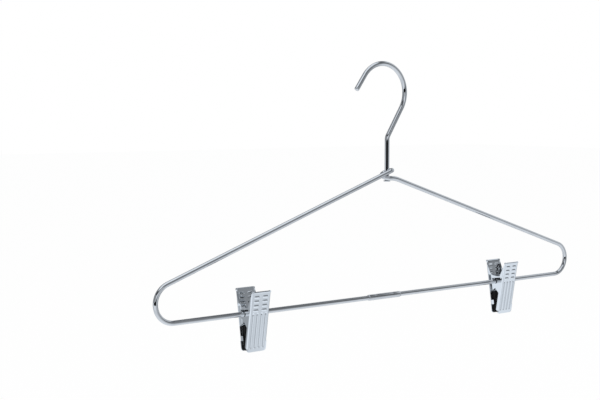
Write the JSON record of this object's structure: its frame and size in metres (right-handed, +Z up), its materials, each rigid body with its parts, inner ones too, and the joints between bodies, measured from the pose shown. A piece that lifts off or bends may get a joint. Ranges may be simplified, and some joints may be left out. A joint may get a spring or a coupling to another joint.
{
  "type": "clip hanger",
  "caption": "Bent chrome wire hanger with a swivelling hook and sprung, rubber-padded clips that slide and swing on its lower bar.",
  "frame": {"origin": "middle of the inside of the hook's crown, where a wardrobe rail bears", "axes": "+Z up, +X along the lower bar towards the side where the hook is closed, +Y towards the back"},
  "size_m": [0.42, 0.0239, 0.2127],
  "materials": {
    "wire_chrome": "polished chrome plate on steel wire",
    "sleeve_steel": "polished chrome plate on a crimped tube",
    "plate_steel": "polished chrome plate on pressed sheet steel",
    "pad_rubber": "matt black moulded rubber",
    "spring_steel": "dark drawn spring steel"
  },
  "bodies": {
    "hook": {"hook": "wire_chrome"},
    "frame": {"body_wire": "wire_chrome", "bar_sleeve": "sleeve_steel"},
    "left_coil": {"left_spring_coil": "spring_steel"},
    "left_front_jaw": {"left_front_plate": "plate_steel", "left_front_pad": "pad_rubber", "left_spring_front_leg": "spring_steel"},
    "left_back_jaw": {"left_back_plate": "plate_steel", "left_back_pad": "pad_rubber", "left_spring_back_leg": "spring_steel"},
    "right_coil": {"right_spring_coil": "spring_steel"},
    "right_front_jaw": {"right_front_plate": "plate_steel", "right_front_pad": "pad_rubber", "right_spring_front_leg": "spring_steel"},
    "right_back_jaw": {"right_back_plate": "plate_steel", "right_back_pad": "pad_rubber", "right_spring_back_leg": "spring_steel"}
  },
  "joints": [
    {"name": "hook_swivel", "type": "hinge", "parent": "hook", "child": "frame", "pos_m": [0.0047, 0, -0.09], "axis": [0, 0, 1], "continuous": true},
    {"name": "left_clip_slide", "type": "slide", "parent": "frame", "child": "left_coil", "axis": [1, 0, 0], "range_m": [-0.048, 0.098]},
    {"name": "left_clip_swing", "type": "hinge", "parent": "left_coil", "child": "left_front_jaw", "pos_m": [-0.1242, -0.00395, -0.18108], "axis": [1, 0, 0], "continuous": true},
    {"name": "left_clip_open", "type": "hinge", "parent": "left_front_jaw", "child": "left_back_jaw", "pos_m": [-0.1242, -0.00395, -0.18108], "axis": [1, 0, 0], "range_deg": [0, 28], "stiffness_Nm_per_rad": 0.25, "springref_deg": -51.57},
    {"name": "right_clip_slide", "type": "slide", "parent": "frame", "child": "right_coil", "axis": [1, 0, 0], "range_m": [-0.108, 0.049]},
    {"name": "right_clip_swing", "type": "hinge", "parent": "right_coil", "child": "right_front_jaw", "pos_m": [0.1319, -0.00395, -0.18108], "axis": [1, 0, 0], "continuous": true},
    {"name": "right_clip_open", "type": "hinge", "parent": "right_front_jaw", "child": "right_back_jaw", "pos_m": [0.1319, -0.00395, -0.18108], "axis": [1, 0, 0], "range_deg": [0, 28], "stiffness_Nm_per_rad": 0.25, "springref_deg": -51.57}
  ]
}
